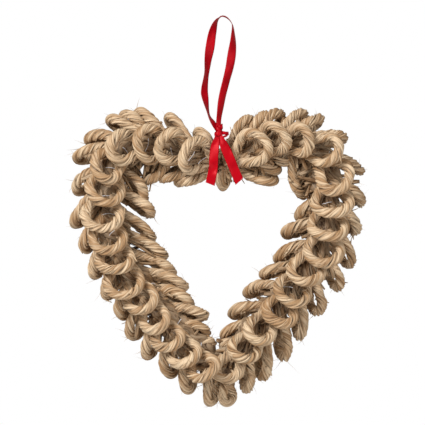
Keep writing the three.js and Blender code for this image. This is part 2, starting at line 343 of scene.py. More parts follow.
# How strongly each pattern shows in the straw's colour, as a factor on its distance from its mean
BROAD_STREAKS = 3.4
FINE_STREAKS = 1.6
TONE_SHARE = 1.1
STREAK_SHARE = 0.75
PATCH_SHARE = 0.6
STAIN_LIMIT = 0.30
STAIN_SHARE = 0.6
LINE_SHARPNESS = 15.0
LINE_SHARE = 0.6
# The last two: how strongly the painted shade in creases and hollows shows, and how the streaks vary it
CREASE_SHADE_SHARE = 0.80
CREASE_SHADE_STREAKS = 1.2


def straw_material(settings):
    """Dry husk: streaks drawn out along the strips, a tone for each strip, and painted shade in creases and
    hollows.
    """
    shader = Shader("dry_straw")
    grain = shader.attribute("grain", output="Vector")
    tone = shader.attribute("tone")
    crease = shader.attribute("crease")
    broad = shader.noise(grain, 0.55, 2.0, 0.6)
    fine = shader.noise(grain, 1.9, 3.0, 0.65)
    patch = shader.noise(shader.place(), 38.0, 2.0)
    streak = (broad - 0.5) * BROAD_STREAKS + (fine - 0.5) * FINE_STREAKS
    shade = (0.5 + (tone - 0.5) * TONE_SHARE + streak * STREAK_SHARE + (patch - 0.5) * PATCH_SHARE).clamp()
    straw = shader.mix(shade, rgba(settings.middle_colour), rgba(settings.light_colour))
    stain = ((STAIN_LIMIT - (0.5 + streak * 0.5)) * 4.0).clamp() * STAIN_SHARE
    thread = shader.noise(grain, 0.62, 1.0)
    broken = ((fine - 0.40) * 5.0).clamp()
    lines = (1.0 - (thread - 0.5).absolute() * LINE_SHARPNESS).clamp() * broken * LINE_SHARE
    # Painted shade: creases between strips and hollows round the feet are darkened towards the dark colour
    hollow_shade = (crease * (CREASE_SHADE_SHARE + (broad - 0.5) * CREASE_SHADE_STREAKS)).clamp()
    shader.set(
        Base_Color=shader.mix((stain + hollow_shade + lines).clamp(), straw, rgba(settings.stain_and_shade_colour)),
        Roughness=(0.62 - fine * 0.18).clamp(),
        Specular_IOR_Level=0.22,
        Normal=shader.bump(0.55, 0.35, fine * 0.6 + broad),
    )
    return shader.material


def thread_material():
    """Thin pale binding thread, slightly shiny."""
    shader = Shader("pale_thread")
    fuzz = shader.noise(shader.place(), 900.0, 1.0)
    shader.set(
        Base_Color=shader.mix(fuzz, (0.62, 0.60, 0.62, 1.0), (0.92, 0.91, 0.93, 1.0)),
        Roughness=0.4,
        Normal=shader.bump(0.3, 0.1, fuzz),
    )
    return shader.material


# Where the ribbon's woven edge starts, as a share of its half width, and how clearly it and the painted
# shade of creases show
EDGE_START = 0.86
EDGE_SHARPNESS = 9.0
CREASE_SHADE_CONTRAST = 2.4
SATIN_TINT = (1.0, 0.14, 0.15, 1.0)


def satin_material(settings):
    """Satin weave: a smooth sheen broken by fine cross threads, soft creases with painted shade, and a darker
    woven edge.
    """
    shader = Shader("crimson_satin")
    across = shader.attribute("across")
    threads = shader.noise(shader.attribute("weave", output="Vector"), 1.0, 2.0)
    soft = shader.noise(shader.place(), 90.0, 2.0)
    # The darker edge colour serves for the woven edge and as painted shade on soft crease patches and the
    # knot
    edge = ((across - EDGE_START) * EDGE_SHARPNESS).clamp()
    edge_and_shade = (edge + (soft - 0.48) * CREASE_SHADE_CONTRAST).clamp()
    shader.set(
        Base_Color=shader.mix(edge_and_shade, rgba(settings.colour), rgba(settings.edge_and_shade_colour)),
        Roughness=(0.34 + (threads - 0.5) * 0.25).clamp(),
        Specular_IOR_Level=0.4,
        Specular_Tint=SATIN_TINT,
        Normal=shader.bump(0.25, 0.15, threads + soft * 2.0),
    )
    return shader.material


def unit(vectors):
    """Vectors at length one."""
    return vectors / np.linalg.norm(vectors, axis=-1, keepdims=True)


def stacked(*parts):
    """Numbers and arrays that fit together, as the components of one array."""
    return np.stack(np.broadcast_arrays(*parts), axis=-1)


def grid_faces(rows, columns):
    """Quads of a grid of points whose columns join round, as whole arrays."""
    i = columns * np.arange(rows - 1)[:, None]
    j = np.arange(columns)[None, :]
    after = (j + 1) % columns
    return stacked(i + j, i + after, i + columns + after, i + columns + j).reshape(-1, 4)


# Values carried at points that have three components
VECTOR_VALUES = ("grain", "weave")


class Surface:
    """Grids of points that make one mesh together, with values carried at each point."""

    def __init__(self, *values):
        self.points = []
        self.quads = []
        self.triangles = []
        self.values = {name: [] for name in values}
        self.count = 0

    def add(self, points, quads, triangles=None, **values):
        """Adds points, their faces and their values."""
        self.points.append(points.reshape(-1, 3))
        self.quads.append(quads + self.count)
        if triangles is not None:
            self.triangles.append(triangles + self.count)
        for name, kept in self.values.items():
            kept.append(values[name].reshape(-1, 3 if name in VECTOR_VALUES else 1))
        self.count += points.reshape(-1, 3).shape[0]

    def add_tube(self, points, **values):
        """Adds a grid of rings as a tube closed by fans. A value that repeats may be given once."""
        rows, columns, _ = points.shape
        ends = np.stack([points[0].mean(axis=0), points[-1].mean(axis=0)])
        j = np.arange(columns)
        after = (j + 1) % columns
        first = rows * columns
        start = np.stack([np.full(columns, first), after, j], axis=-1)
        last = (rows - 1) * columns
        end = np.stack([np.full(columns, first + 1), last + j, last + after], axis=-1)
        whole = {}
        for name, value in values.items():
            shape = (rows, columns, 3) if name in VECTOR_VALUES else (rows, columns)
            flat = np.broadcast_to(value, shape).reshape(rows, columns, -1)
            ending = np.stack([flat[0].mean(axis=0), flat[-1].mean(axis=0)])
            whole[name] = np.concatenate([flat.reshape(rows * columns, -1), ending])
        body = np.concatenate([points.reshape(-1, 3), ends])
        self.add(body, grid_faces(rows, columns), np.concatenate([start, end]), **whole)

    def mesh(self, name):
        """The mesh in metres, smooth, with its values as attributes."""
        mesh = bpy.data.meshes.new(name)
        faces = np.concatenate(self.quads).tolist() + np.concatenate(self.triangles).tolist()
        mesh.from_pydata((np.concatenate(self.points) * MM).tolist(), [], faces)
        for key, kept in self.values.items():
            value = np.concatenate(kept).astype(np.float32)
            kind, field = ("FLOAT_VECTOR", "vector") if key in VECTOR_VALUES else ("FLOAT", "value")
            mesh.attributes.new(key, kind, "POINT").data.foreach_set(field, value.ravel())
        mesh.shade_smooth()
        mesh.update()
        return mesh


def add_piece(name, mesh, material):
    """A piece of the wreath in the scene: it rides on the one body and has its material."""
    piece = bpy.data.objects.new(name, mesh)
    bpy.context.scene.collection.objects.link(piece)
    mesh.materials.append(material)
    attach(piece, "root")
    return piece


def middle_line(distance):
    """The middle line at a distance from the cleft, its arcs added up: outward, up, heading below level."""
    heading = -math.radians(START_RISE)
    x = z = 0.0
    left = distance
    for length, turn in MIDDLE_LINE:
        bend = math.radians(turn) / length
        run = min(left, length)
        x += (math.sin(heading + bend * run) - math.sin(heading)) / bend
        z += (math.cos(heading + bend * run) - math.cos(heading)) / bend
        heading += bend * run
        left -= run
        if left <= 0:
            break
    return x, z, heading


def frame_at(side, distance):
    """On one half, side -1 or 1: the place on the middle line, the way on along it, and the way out."""
    x, z, heading = middle_line(distance)
    place = np.array([HEART_X + side * x, 0.0, CLEFT_Z + z])
    along = np.array([side * math.cos(heading), 0.0, -math.sin(heading)])
    outward = np.array([side * math.sin(heading), 0.0, math.cos(heading)])
    return place, along, outward


class Loop(NamedTuple):
    """A teardrop of rope: its foot, the ways on and sideways, the ring's reach and radius, and the bend."""

    foot: np.ndarray
    direction: np.ndarray
    sideways: np.ndarray
    reach: float
    radius: float
    bend: float = 0.0


def front_loop(side, distance, tilt, row):
    """The loop that stands off the front: aimed at a place on along the heart, and tilted forward."""
    start, _, _ = frame_at(side, distance)
    ahead, _, outward = frame_at(side, distance + row.reach)
    aim = ahead + outward * row.lean - start
    flat = np.linalg.norm(aim)
    lift = math.radians(row.tilt or tilt)
    direction = aim / flat * math.cos(lift)
    direction[1] = -math.sin(lift)
    sideways = unit(np.cross(BACKWARD, aim))
    return Loop(start, direction, sideways, flat / math.cos(lift), row.width / 2 - ROPE_SPACE)


def side_loop(side, distance, turn, length, roll):
    """An outer or inner loop: turned away from the middle line, leaning back, and rolled from edge-on."""
    place, along, outward = frame_at(side, distance)
    seen = along * math.cos(math.radians(turn)) + outward * math.sin(math.radians(turn))
    beside = unit(np.cross(BACKWARD, seen))
    lean = math.radians(SIDE_LEAN_BACK)
    direction = seen * math.cos(lean)
    direction[1] = math.sin(lean)
    rolled = math.radians(roll)
    sideways = np.cross(direction, beside) * math.cos(rolled) + beside * math.sin(rolled)
    radius = min(SIDE_LOOP_RADIUS, SHORT_LOOP_SHARE * length)
    bend = -side * (OUTER_BEND if turn > 0 else -INNER_BEND)
    return Loop(place, direction, sideways, length - radius - ROPE_SPACE, radius, bend)


def bunch_loops(label, index, distance):
    """All the loops of one bunch."""
    side = SIDES[label]
    row = BUNCHES[label][index]
    roll = SIDE_ROLL + SIDE_ROLL_CHANGE * math.sin(index * side)
    loops = [front_loop(side, distance, FRONT_TILT[label], row)]
    loops += [side_loop(side, distance, turn, length, side * roll) for turn, length in row.outer]
    roll = -roll * INNER_ROLL_SHARE
    loops += [side_loop(side, distance, -turn, length, side * roll) for turn, length in row.inner]
    return loops


def bunch_places(label):
    """Distances of a half's bunches from the cleft: an even pitch, and crowded a little on the right."""
    count = len(BUNCHES[label])
    i = np.arange(count)
    if label == "left":
        places = LEFT_START + LEFT_PITCH * i
        places[0] = LEFT_FIRST
        return places
    return RIGHT_START + RIGHT_PITCH * i - RIGHT_CROWDING * np.sin(math.pi * i / (count - 1))


def even_steps(path, step):
    """The same path with points at even steps, by linear interpolation on its length."""
    lengths = np.concatenate([[0.0], np.cumsum(np.linalg.norm(np.diff(path, axis=0), axis=1))])
    places = np.linspace(0.0, lengths[-1], max(8, int(round(lengths[-1] / step)) + 1))
    return np.stack([np.interp(places, lengths, path[:, k]) for k in range(3)], axis=-1), places


# How a loop's path is drawn, and the slow waves on it: how many turns each has and how high it is
LOOP_STEP = 1.3
RING_STEPS = 60
LEG_STEPS = 12
WANDER = 1.3
WAVE_TURNS = (2, 3, 1.5, 2.5)
WAVE_SHARES = (0.8, 0.5, 0.9, 0.5)
FOOT_STILLNESS = 0.8


def bent(path, loop):
    """
    A path turned about the front-to-back line through the loop's foot, by the loop's bend times one less
    the share of the way out. The far end stays, so the loop sets out steeper and curves back.
    """
    offset = path - loop.foot
    out = np.linalg.norm(offset, axis=1)
    turn = math.radians(loop.bend) * (1 - out / out.max())
    x, y, z = offset.T
    return loop.foot + stacked(x * np.cos(turn) + z * np.sin(turn), y, z * np.cos(turn) - x * np.sin(turn))


def loop_path(loop, rng):
    """
    The rope's middle round a teardrop: straight from the foot to the ring, round it at reach + radius *
    cos(angle) along and radius * sin(angle) sideways, and straight back. Two slow sine waves across the rope
    and two upright, all still at the foot, keep it from being a true circle.
    """
    spread = math.asin(min(WIDEST_SPREAD, loop.radius / loop.reach))
    angle = np.linspace(-(math.pi / 2 + spread), math.pi / 2 + spread, RING_STEPS)[:, None]
    ring = (
        loop.foot
        + loop.direction * (loop.reach + loop.radius * np.cos(angle))
        + loop.sideways * loop.radius * np.sin(angle)
    )
    leg = np.linspace(0.0, 1.0, LEG_STEPS)[:-1, None]
    out, back = (loop.foot + (ring[end] - loop.foot) * leg for end in (0, -1))
    path, along = even_steps(bent(np.concatenate([out, ring, back[::-1]]), loop), LOOP_STEP)
    upright = unit(np.cross(loop.direction, loop.sideways))
    share = along / along[-1]
    still = np.sin(math.pi * share)[:, None] ** FOOT_STILLNESS
    across = unit(np.cross(upright, np.gradient(path, axis=0)))
    waves = [
        height * np.sin(TURN * (turns * share + start))[:, None]
        for turns, height, start in zip(WAVE_TURNS, WAVE_SHARES, rng.random(4))
    ]
    path = path + still * WANDER * (across * (waves[0] + waves[1]) + upright * (waves[2] + waves[3]))
    return path, along, upright


# Across one husk strip: where its columns of points are, how high each bulges, and how much painted shade its
# crease gets
STRIP_COLUMNS = np.array([0.0, 0.12, 0.40, 0.72])
STRIP_HEIGHT = np.array([-0.36, 0.08, 0.17, 0.03])
STRIP_CREASE_SHADE = np.array([1.0, 0.16, 0.0, 0.08])
DEEP_SHARE = 0.45
STRIP_WIDTHS = (0.45, 1.8)
SHALLOW_CREASES = (0.25, 0.65)

# Slow waves along a rope, as (height, shortest, longest). The meanders turn the strips, in radians. The
# others are shares of the rope's radius, of a crease's depth or painted shade, or of a strip's tone.
MEANDER = (0.26, 35, 80)
SHORT_MEANDER = (0.09, 14, 30)
ROPE_MEANDER = (0.35, 50, 90)
RIDGES = (0.045, 9, 26)
STRIP_STEPS = (0.05, 30, 70)
DEPTH_WAVE = (0.35, 20, 60)
LUMPS = (0.06, 30, 90)
TONE_WAVE = (0.20, 30, 70)
SHADE_WAVE = (0.25, 12, 40)

# The straw's grain is drawn out GRAIN_STRETCH times along the strips, and starts anywhere up to GRAIN_RANGE
GRAIN_STRETCH = 9.0
GRAIN_RANGE = 500


class Twist(NamedTuple):
    """How a rope is twisted: radius, lay, strips, size at its ends, depth of creases, painted shade and
    width.
    """

    radius: float
    lay: float
    strips: int
    ends: float = 0.78
    crease_depth: float = 1.0
    shade: float = 0.0
    spread: float = 1.0


def husk_rope(surface, path, along, upright, twist, rng):
    """
    Husk strips twisted along a path. A point's angle round the rope is its strip phase less a turn for each
    lay of length, so strips wind left-handed. Its distance from the middle is the radius times one plus the
    strip's lapped profile and slow ridges, and spread widens that sideways.
    """
    radius, lay, strips, ends, crease_depth, shade, spread = twist
    tangent = unit(np.gradient(path, axis=0))
    across = unit(np.cross(upright, tangent))
    beside = np.cross(tangent, across)
    widths = rng.uniform(*STRIP_WIDTHS, strips)
    widths *= TURN / widths.sum()
    edges = np.concatenate([[0.0], np.cumsum(widths)[:-1]])
    phase = (edges[:, None] + widths[:, None] * STRIP_COLUMNS).ravel()[None, :]
    strip = np.repeat(np.arange(strips), len(STRIP_COLUMNS))
    s = along[:, None]

    def wave(shape, count):
        """Slow sine waves along the rope, one for each of count columns or strips."""
        height, shortest, longest = shape
        length = rng.uniform(shortest, longest, count)[None, :]
        waves = height * np.sin(TURN * (s / length + rng.random(count)[None, :]))
        return waves[:, strip] if count == strips else waves

    meander = wave(MEANDER, strips) + wave(SHORT_MEANDER, strips) + wave(ROPE_MEANDER, 1)
    ridges = wave(RIDGES, len(strip))
    steps = wave(STRIP_STEPS, strips)
    deep = np.where(rng.random(strips) < DEEP_SHARE, 1.0, rng.uniform(*SHALLOW_CREASES, strips))[strip]
    deep = deep * np.clip(0.8 + wave(DEPTH_WAVE, strips), 0.0, 1.1)
    height = np.tile(STRIP_HEIGHT, strips)[None, :] * deep * crease_depth + ridges + steps
    lumps = 1 + wave(LUMPS, 1)
    near_end = np.minimum(s, along[-1] - s)
    taper = ends + (1 - ends) * np.clip(near_end / 12.0, 0.0, 1.0)
    theta = phase + meander - TURN * s / lay + rng.random() * TURN
    out = radius * lumps * taper * (1 + height)
    squash = 1 + 0.05 * np.cos(2 * theta + TURN * rng.random())
    points = (
        path[:, None, :]
        + (spread * out * squash * np.cos(theta))[..., None] * across[:, None, :]
        + (out * squash * np.sin(theta))[..., None] * beside[:, None, :]
    )
    tones = rng.normal(0.5, 0.10) + rng.normal(0.0, 0.26, strips)[strip] + wave(TONE_WAVE, strips)
    # Painted shade: the rope's even shade plus a darkening in each strip's crease, carried as an attribute
    creases = shade + np.tile(STRIP_CREASE_SHADE, strips) * deep * (1 - SHADE_WAVE[0] + wave(SHADE_WAVE, strips))
    run = s / GRAIN_STRETCH + rng.uniform(0, GRAIN_RANGE)
    grain = stacked(radius * np.cos(phase), radius * np.sin(phase), run)
    surface.add_tube(points, tone=np.clip(tones, 0, 1), crease=np.clip(creases, 0, 1), grain=grain)
    return points


# The feet carry painted shade for the hollow they lie in; the first foot, which shows in the cleft, gets less
FOOT_TWIST = Twist(10.6, 150.0, 13, ends=0.7, crease_depth=1.3, shade=0.62, spread=1.4)
FIRST_FOOT_TWIST = FOOT_TWIST._replace(shade=0.25, spread=1.0)
FOOT_STEP = 1.6
FOOT_OVERLAP = 3.0


def bound_foot(surface, side, start, stop, rng):
    """A bunch's bound foot: nearly straight strips on the middle line, narrower and with less painted shade
    in the cleft.
    """
    distances = np.linspace(max(start - FOOT_OVERLAP, 0.3), stop + FOOT_OVERLAP, 18)
    path = np.stack([frame_at(side, d)[0] for d in distances])
    path, along = even_steps(path, FOOT_STEP)
    twist = FOOT_TWIST if start > RIGHT_START else FIRST_FOOT_TWIST
    husk_rope(surface, path, along, BACKWARD, twist, rng)


def round_skin(path, upright, radius, sides):
    """
    Rings of points round a path: path + radius * (cos(a) * across + sin(a) * up) at even angles a, where
    across is square to the path and to upright, and up to the path and to across.
    """
    tangent = unit(np.gradient(path, axis=0))
    across = unit(np.cross(tangent, upright))
    up = np.cross(tangent, across)
    angle = TURN * np.arange(sides)[None, :, None] / sides
    return path[:, None, :] + radius * (np.cos(angle) * across[:, None, :] + np.sin(angle) * up[:, None, :])


def flat_skin(path, across, outward, width, section):
    """A flat section of (x, y) carried along a path: path + across * width * x + outward * y."""
    return (
        path[:, None, :]
        + across[:, None, :] * width[:, None] * section[None, :, :1]
        + outward[:, None, :] * section[None, :, 1:]
    )


def curved_hair(surface, start, heading, bend, length, width, tone, rng):
    """A tapering fibre: it sets out along heading and turns towards bend as the square of its length."""
    share = np.linspace(0.0, 1.0, 8)[:, None]
    path = start + heading * length * share + bend * length * share**2
    thick = width / 2 * (1.05 - share[:, None, :])
    points = round_skin(path, unit(rng.normal(size=3)), thick, sides=3)
    surface.add_tube(points, tone=tone, crease=0.0, grain=rng.uniform(0, GRAIN_RANGE, 3))


# Further back than this, fibres don't lean backward and strips lift less, as against a wall
BACK_START = 12.0

# Stray fibres: the share that starts anywhere and not near the loop's far end, where that end is on the
# rope, the rows left free at the rope's ends, and the fibres' length and width
FIBRES_ANYWHERE = 0.75
LOOP_END = (0.42, 0.58)
FREE_ROWS = 6
FIBRE_LENGTHS = (4, 13)
FIBRE_WIDTHS = (0.4, 0.85)
# The tones of fibres and of packed husk, darker than most strips
LOOSE_TONES = (0.0, 0.6)


def stray_fibres(surface, rope, count, rng):
    """Loose fibres that start on a rope's skin and lean off it along the rope and outward."""
    rows, columns, _ = rope.shape
    middle = rope.mean(axis=1)
    for _ in range(count):
        if rng.random() < FIBRES_ANYWHERE:
            i = rng.integers(FREE_ROWS, rows - FREE_ROWS)
        else:
            i = int(rows * rng.uniform(*LOOP_END))
        j = rng.integers(0, columns)
        start = rope[i, j]
        outward = unit(start - middle[i])
        onward = unit(rope[i + 3, j] - rope[i - 3, j]) * rng.choice((-1, 1))
        heading = unit(outward * rng.uniform(0.15, 0.8) + onward)
        bend = outward * rng.uniform(-0.4, 0.5) + rng.normal(0, 0.34, 3)
        if start[1] > BACK_START:
            heading[1] = min(heading[1], 0.0)
            bend[1] = min(bend[1], 0.0)
        length = rng.uniform(*FIBRE_LENGTHS)
        width = rng.uniform(*FIBRE_WIDTHS)
        tone = rng.uniform(*LOOSE_TONES)
        curved_hair(surface, start - outward * 0.3, heading, bend, length, width, tone, rng)


# Peeling strips: how many a rope has, rows left free at its ends, the strips' width, lift, tone and section
PEELING_STRIPS = 3
PEEL_FREE_ROWS = 8
PEEL_WIDTHS = (1.2, 2.2)
PEEL_LIFTS = (1.5, 4.5)
PEEL_TONES = (0.3, 0.95)
PEEL_SECTION = np.array([[-1, -0.45], [0, 0.15], [1, -0.45], [1, -0.25], [0, 0.35], [-1, -0.25]])


def peeling_strip(surface, rope, rng):
    """
    The end of a husk strip that lifts off: it follows the rope's skin along one column, rises with the cube
    of its length, and narrows with the square. Its two faces are a thin closed sheet.
    """
    rows, columns, _ = rope.shape
    length = rng.integers(6, 10)
    i = rng.integers(PEEL_FREE_ROWS, rows - length - PEEL_FREE_ROWS)
    j = rng.integers(0, columns)
    middle = rope.mean(axis=1)
    way = rng.choice((-1, 1))
    picked = np.arange(i, i + length)[::way]
    share = np.linspace(0.0, 1.0, length)[:, None]
    start = rope[picked, j]
    outward = unit(start - middle[picked])
    tangent = unit(np.gradient(start, axis=0))
    side = unit(np.cross(tangent, outward))
    width = rng.uniform(*PEEL_WIDTHS) * (1 - 0.85 * share**2)
    lift = rng.uniform(*PEEL_LIFTS) * (0.3 if start[0, 1] > BACK_START else 1.0)
    centre = start + outward * (0.15 + lift * share**3)
    points = flat_skin(centre, side, outward, width, PEEL_SECTION)
    grain = stacked(PEEL_SECTION[:, 0] * 1.5, 0.0, share * 1.2 + rng.uniform(0, GRAIN_RANGE))
    surface.add_tube(points, tone=rng.uniform(*PEEL_TONES), crease=0.0, grain=grain)


# Husk packed round the feet: where a strip may start, along the middle line and off it, its width and section
FILLER_ROWS = 6
FILLER_STARTS = (-4, 10)
FILLER_DEPTHS = (2, 9)
FILLER_WIDTHS = (1.8, 3.6)
FILLER_SECTION = np.array([[-1, -0.15], [-0.4, 0.35], [0.3, 0.10], [1, -0.10], [0.3, -0.22], [-0.4, 0.02]])


class Pack(NamedTuple):
    """Husk packed round a foot: how many strips, the angles they fan out in, their lengths and painted shade.
    """

    count: int
    fans: tuple
    lengths: tuple
    painted_shades: tuple = (0.5, 0.95)


FOOT_PACKS = (Pack(22, (-105, 105), (11, 20)), Pack(17, (22, 66), (11, 21)), Pack(17, (-66, -22), (11, 21)))
SIDE_PACK_COUNT = 10
SIDE_PACK_FAN = 13
SIDE_PACK_SHARES = (0.35, 0.58)
NO_INNER_PACK = Pack(46, (-100, -35), (15, 31))
# The packs in the cleft get less painted shade
CLEFT_PACKS = (Pack(26, (45, 135), (7, 13), (0.0, 0.45)), Pack(22, (-100, 20), (8, 15), (0.0, 0.5)))
CLEFT_PACK_PLACE = 2.0
TIP_PACK = Pack(34, (-48, 60), (11, 20))


def foot_packs(row):
    """A bunch's packs: to both sides of its foot, along each side loop, and where it has no inner loop."""
    packs = list(FOOT_PACKS)
    for turn, length in [*row.outer, *((-turn, length) for turn, length in row.inner)]:
        fans = (turn - SIDE_PACK_FAN, turn + SIDE_PACK_FAN)
        packs.append(Pack(SIDE_PACK_COUNT, fans, tuple(share * length for share in SIDE_PACK_SHARES)))
    return packs if row.inner else [*packs, NO_INNER_PACK]


def husk_filler(surface, side, place, pack, rng):
    """
    Loose husk in the hollows round a foot: strips that set out near the middle line, fan out along the
    heart within the pack's angles, bow and narrow with the square of their length, and twist evenly.
    """
    origin, along, outward = frame_at(side, place)
    share = np.linspace(0.0, 1.0, FILLER_ROWS)[:, None]
    for _ in range(pack.count):
        fan = math.radians(rng.uniform(*pack.fans))
        around = TURN * rng.random()
        start = origin + along * rng.uniform(*FILLER_STARTS)
        off = outward * math.cos(around) + BACKWARD * math.sin(around)
        start = start + off * rng.uniform(*FILLER_DEPTHS)
        heading = unit(along * math.cos(fan) + outward * math.sin(fan) + BACKWARD * rng.uniform(-0.2, 0.4))
        length = rng.uniform(*pack.lengths)
        path = start + heading * length * share + rng.normal(0, 0.16, 3) * length * share**2
        tangent = unit(np.gradient(path, axis=0))
        face = unit(rng.normal(0, 0.5, 3) - BACKWARD)
        flat = unit(np.cross(tangent, face))
        normal = np.cross(flat, tangent)
        turn = rng.uniform(-1.2, 1.2) * share
        wide = flat * np.cos(turn) + normal * np.sin(turn)
        thick = normal * np.cos(turn) - flat * np.sin(turn)
        width = rng.uniform(*FILLER_WIDTHS) * (1 - 0.4 * share**2)
        points = flat_skin(path, wide, thick, width, FILLER_SECTION)
        run = share * length / GRAIN_STRETCH + rng.uniform(0, GRAIN_RANGE)
        grain = stacked(FILLER_SECTION[:, 0] * 2.2, 0.0, run)
        tone = rng.uniform(*LOOSE_TONES)
        # Painted shade, deepest where the strip starts near the foot and lighter further out
        filler_shade = np.clip(rng.uniform(*pack.painted_shades) - 0.35 * share, 0, 1)
        surface.add_tube(points, tone=tone, crease=filler_shade, grain=grain)


# How much a loop's rope differs from the settings, as shares of its radius and of its lay
ROPE_SIZES = (0.94, 1.06)
ROPE_LAYS = (0.85, 1.2)


def straw_piece(context, name, feet, packs, loops, rng):
    """One bunch as one mesh: feet, husk packed round them, loops, stray fibres and strips that peel off."""
    settings = context.scene.wreath_straw
    surface = Surface("tone", "crease", "grain")
    for side, start, stop in feet:
        bound_foot(surface, side, start, stop, rng)
    for side, place, pack in packs:
        husk_filler(surface, side, place, pack, rng)
    for loop in loops:
        path, along, upright = loop_path(loop, rng)
        radius = settings.rope_radius / MM * rng.uniform(*ROPE_SIZES)
        strips = settings.strips + int(rng.integers(-1, 2))
        twist = Twist(radius, settings.lay / MM * rng.uniform(*ROPE_LAYS), strips)
        rope = husk_rope(surface, path, along, upright, twist, rng)
        stray_fibres(surface, rope, settings.fibres // len(loops), rng)
        for _ in range(PEELING_STRIPS):
            peeling_strip(surface, rope, rng)
    material = kept_material("dry_straw", lambda: straw_material(settings))
    piece = add_piece(f"twisted_straw_{name}", surface.mesh(f"twisted_straw_{name}"), material)
    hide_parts(f"straw_bunch_{name}")


def half_bunches(context, label):
    """All the bunches of one half of the heart."""
    side = SIDES[label]
    places = bunch_places(label)
    stops = np.append(places[1:] - FOOT_LEAD, TIP_FOOT_START)
    for index, place in enumerate(places):
        rng = np.random.default_rng([ord(label[0]), index])
        feet = [(side, place - FOOT_LEAD, stops[index])]
        packs = [(side, place, pack) for pack in foot_packs(BUNCHES[label][index])]
        if index == 0:
            packs += [(side, CLEFT_PACK_PLACE, pack) for pack in CLEFT_PACKS]
        straw_piece(context, f"{label}_{index + 1:02d}", feet, packs, bunch_loops(label, index, place), rng)


def kept_material(name, make):
    """The material of that name, made the first time it is asked for."""
    return bpy.data.materials.get(name) or make()


class WREATH_OT_left_half(bpy.types.Operator):
    """Twists and ties the straw bunches of the left half"""

    bl_idname = "wreath.left_half"
    bl_label = "Left Half"

    def execute(self, context):
        half_bunches(context, "left")
        return {"FINISHED"}


class WREATH_OT_right_half(bpy.types.Operator):
    """Twists and ties the straw bunches of the right half"""

    bl_idname = "wreath.right_half"
    bl_label = "Right Half"

    def execute(self, context):
        half_bunches(context, "right")
        return {"FINISHED"}


class WREATH_OT_tip(bpy.types.Operator):
    """Makes the bunch that joins both halves at the bottom point"""

    bl_idname = "wreath.tip"
    bl_label = "Tip"

    def execute(self, context):
        total = sum(length for length, _ in MIDDLE_LINE)
        middle, _, _ = frame_at(1, total)
        back = math.tan(math.radians(SIDE_LEAN_BACK))
        rolled = math.radians(TIP_LOOP_ROLL)
        loops = []
        for x, swing, length in TIP_LOOPS:
            swung = math.radians(swing)
            direction = unit(np.array([-math.sin(swung), back, -math.cos(swung)]))
            sideways = unit(np.cross(RIGHTWARD, direction)) * math.cos(rolled) + RIGHTWARD * math.sin(rolled)
            foot = np.array([HEART_X + x, 0.0, middle[2]])
            reach = length - TIP_LOOP_RADIUS - ROPE_SPACE
            loops.append(Loop(foot, direction, sideways, reach, TIP_LOOP_RADIUS))
        feet = [(side, TIP_FOOT_START, total) for side in SIDES.values()]
        packs = [(side, TIP_FOOT_START, TIP_PACK) for side in SIDES.values()]
        straw_piece(context, "tip", feet, packs, loops, np.random.default_rng(seed=7))
        return {"FINISHED"}


# Binding thread: its radius, how many turns it makes, how far it runs along the foot without its waves, and
# its waves as (height, rate)
THREAD_RADIUS = 0.36
THREAD_TURNS = (0.25, 0.7)
THREAD_RUN = 16
THREAD_WAVE_OUT = (0.09, 2.9)
THREAD_WAVE_ALONG = (1.6, 2.7)


class WREATH_OT_thread(bpy.types.Operator):
    """Lays a short stretch of pale binding thread on every foot"""

    bl_idname = "wreath.thread"
    bl_label = "Binding Thread"

    def execute(self, context):
        surface = Surface()
        for label, side in SIDES.items():
            for index, place in enumerate(bunch_places(label)):
                rng = np.random.default_rng([3, ord(label[0]), index])
                self.wind(surface, side, place, rng)
        material = kept_material("pale_thread", thread_material)
        add_piece("binding_thread", surface.mesh("binding_thread"), material)
        return {"FINISHED"}

    def wind(self, surface, side, place, rng):
        """Part of a turn just outside the foot, with waves out and along. Its last tenth rises off."""
        origin, along, outward = frame_at(side, place + 4.0)
        t = np.linspace(0.0, 1.0, 60)[:, None]
        angle = TURN * (rng.uniform(*THREAD_TURNS) * t + rng.random())

        def wave(height, rate):
            """A sine wave of the angle that starts anywhere."""
            return height * np.sin(rate * angle + TURN * rng.random())

        loose_end = 3.5 * np.clip(t - 0.9, 0, 1)
        size = FOOT_TWIST.radius * (1.14 + wave(*THREAD_WAVE_OUT) + loose_end)
        lead = (t - 0.5) * rng.uniform(-THREAD_RUN, THREAD_RUN) + wave(*THREAD_WAVE_ALONG)
        path = origin + along * lead + outward * size * np.cos(angle) - BACKWARD * size * np.sin(angle)
        surface.add_tube(round_skin(path, along, THREAD_RADIUS, sides=5))


def smooth_rows(rows, steps):
    """Rows of numbers joined by a smooth curve, whose slope at a row is that between its neighbours."""
    rows = np.asarray(rows, dtype=float)
    place = np.linspace(0.0, len(rows) - 1, steps + 1)
    i = np.minimum(place.astype(int), len(rows) - 2)
    t = (place - i)[:, None]
    a, b, d, e = (rows[np.clip(i + k, 0, len(rows) - 1)] for k in (-1, 0, 1, 2))
    return 0.5 * (2 * b + (d - a) * t + (2 * a - 5 * b + 4 * d - e) * t**2 + (3 * b - a - 3 * d + e) * t**3)


# Points across the ribbon, its ripples' length, how far its slanted cuts reach, and how fine its weave is
RIBBON_COLUMNS = 9
RIPPLE_LENGTH = 31
CUT_REACH = 5.0
WEAVE_ACROSS = 3.0
WEAVE_ALONG = 6


